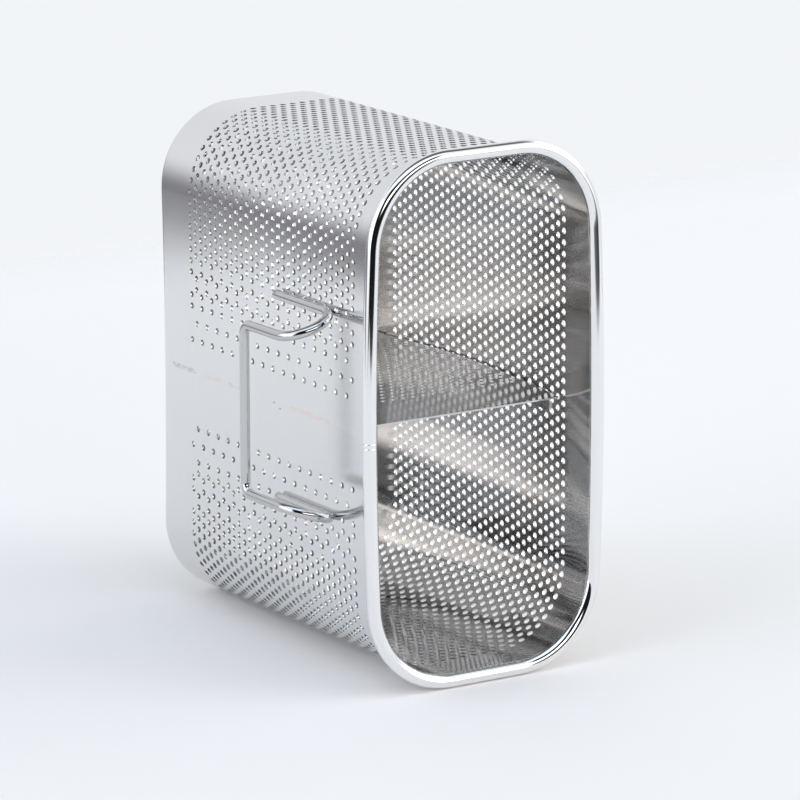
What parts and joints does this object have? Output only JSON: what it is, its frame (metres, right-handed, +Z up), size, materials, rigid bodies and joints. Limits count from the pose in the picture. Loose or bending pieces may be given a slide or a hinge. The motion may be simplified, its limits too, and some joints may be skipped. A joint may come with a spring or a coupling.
{
  "type": "cutlery rack",
  "caption": "Rounded oblong basket of punched steel sheet with a central divider, a wire rim and a wire rail hook; stands and drains cutlery upright.",
  "frame": {"origin": "middle of the flat underside of the base, standing upright", "axes": "+X along the long side, +Y towards the wall with the rail hook, +Z up through the open mouth"},
  "size_m": [0.162, 0.099, 0.1253],
  "materials": {
    "punched_sheet": "polished stainless sheet",
    "polished_wire": "bright drawn stainless wire"
  },
  "bodies": {
    "root": {"wall_shell": "punched_sheet", "base_pan": "punched_sheet", "divider": "punched_sheet", "rim_wire": "polished_wire", "hook_wire": "polished_wire"}
  },
  "joints": []
}
